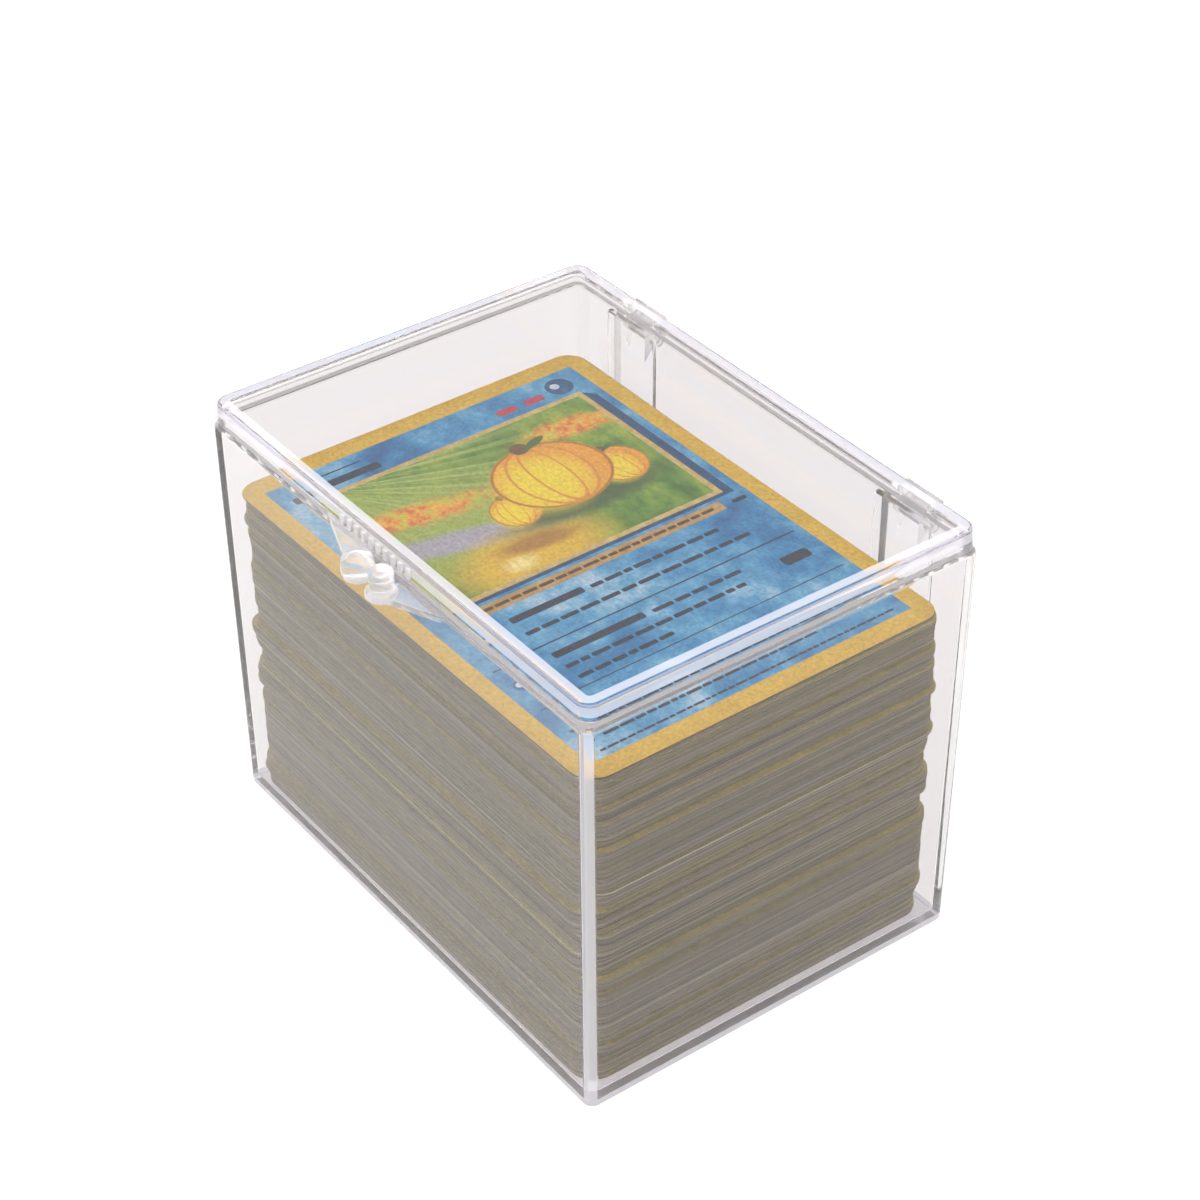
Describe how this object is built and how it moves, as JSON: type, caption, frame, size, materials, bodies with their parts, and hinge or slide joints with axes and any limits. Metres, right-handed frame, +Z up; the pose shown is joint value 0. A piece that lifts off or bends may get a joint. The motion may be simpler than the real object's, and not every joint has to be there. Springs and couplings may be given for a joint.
{
  "type": "hinged card deck box",
  "caption": "Clear hinged plastic box with a deep tapered base, shallow lid, snap hinges at the back, front latch posts and thumb ribs, holding a deck of trading-size cards lying flat.",
  "frame": {"origin": "centre of the flat underside of the base tray, in the plane it rests on", "axes": "+X along the long side, -Y towards the latch side, +Y towards the hinge side, +Z up through the lid"},
  "size_m": [0.0948, 0.0769, 0.0736],
  "materials": {
    "clear_styrene": "clear polished polystyrene, transparent",
    "card_edge": "cut edges of grey-white card stock",
    "card_edge_dark": "cut edges of older, darker card stock",
    "card_face": "printed card face with a golden border"
  },
  "bodies": {
    "base": {"base_shell": "clear_styrene"},
    "lid": {"lid_shell": "clear_styrene"},
    "deck": {"card_packet_01": "card_edge", "card_packet_02": "card_edge_dark", "card_packet_03": "card_edge", "card_packet_04": "card_edge_dark", "card_packet_05": "card_edge", "card_packet_06": "card_edge_dark", "card_packet_07": "card_edge", "card_packet_08": "card_edge_dark", "card_packet_09": "card_edge", "card_packet_10": "card_edge_dark", "card_packet_11": "card_edge", "card_packet_12": "card_edge_dark", "card_packet_13": "card_edge", "card_packet_14": "card_edge_dark", "card_packet_15": "card_edge", "card_packet_16": "card_edge_dark", "card_packet_17": "card_edge", "card_packet_18": "card_edge_dark", "card_packet_19": "card_edge", "card_packet_20": "card_edge_dark", "card_packet_21": "card_edge", "card_packet_22": "card_edge_dark", "card_top": "card_face"}
  },
  "joints": [
    {"name": "lid_hinge", "type": "hinge", "parent": "base", "child": "lid", "pos_m": [0, 0.0351, 0.0679], "axis": [-1, 0, 0], "range_deg": [0, 130]},
    {"name": "deck_lift", "type": "slide", "parent": "base", "child": "deck", "axis": [0, 0, 1], "range_m": [0, 0.011]}
  ]
}
